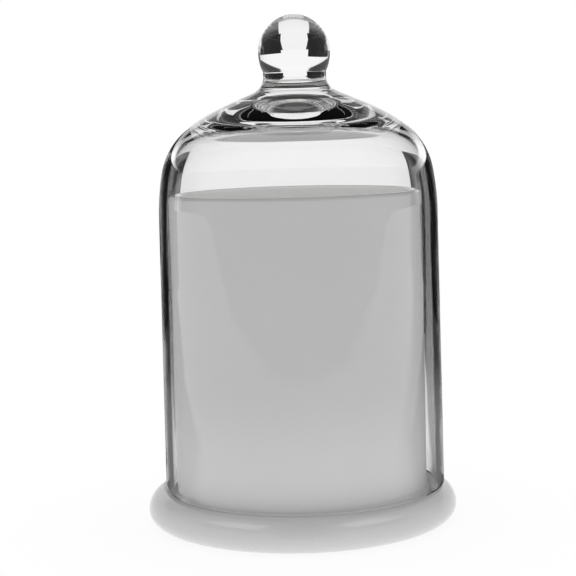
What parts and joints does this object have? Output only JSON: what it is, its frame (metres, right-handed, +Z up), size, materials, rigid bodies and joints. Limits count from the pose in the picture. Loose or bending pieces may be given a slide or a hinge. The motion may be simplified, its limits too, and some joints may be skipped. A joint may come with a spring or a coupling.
{
  "type": "glass cloche candle",
  "caption": "Clear glass bell dome with a fused ball knob, resting over an opaque grey cup on a wide rounded foot, with a candle inside; the dome lifts off.",
  "frame": {"origin": "middle of the foot's underside, in the plane the foot stands on", "axes": "+Z up along the cup's axis; the object is round, so X and Y are equal, and the loose dome stands 1 mm towards +X"},
  "size_m": [0.0996, 0.0996, 0.1621],
  "materials": {
    "clear_glass": "clear, fire-polished",
    "grey_glass": "opaque grey, satin cup and glossy foot",
    "wax": "wax, satin",
    "cotton": "braided, waxed",
    "tinned_steel": "tin plated",
    "foam": "adhesive foam",
    "label_paper": "blank, matt"
  },
  "bodies": {
    "base": {"vessel": "grey_glass", "wax_fill": "wax", "wick": "cotton", "wick_tab": "tinned_steel", "wick_sticker": "foam", "base_label": "label_paper"},
    "dome": {"glass_dome": "clear_glass"}
  },
  "joints": [
    {"name": "dome_lift", "type": "slide", "parent": "base", "child": "dome", "axis": [0, 0, 1], "range_m": [0, 0.12]}
  ]
}
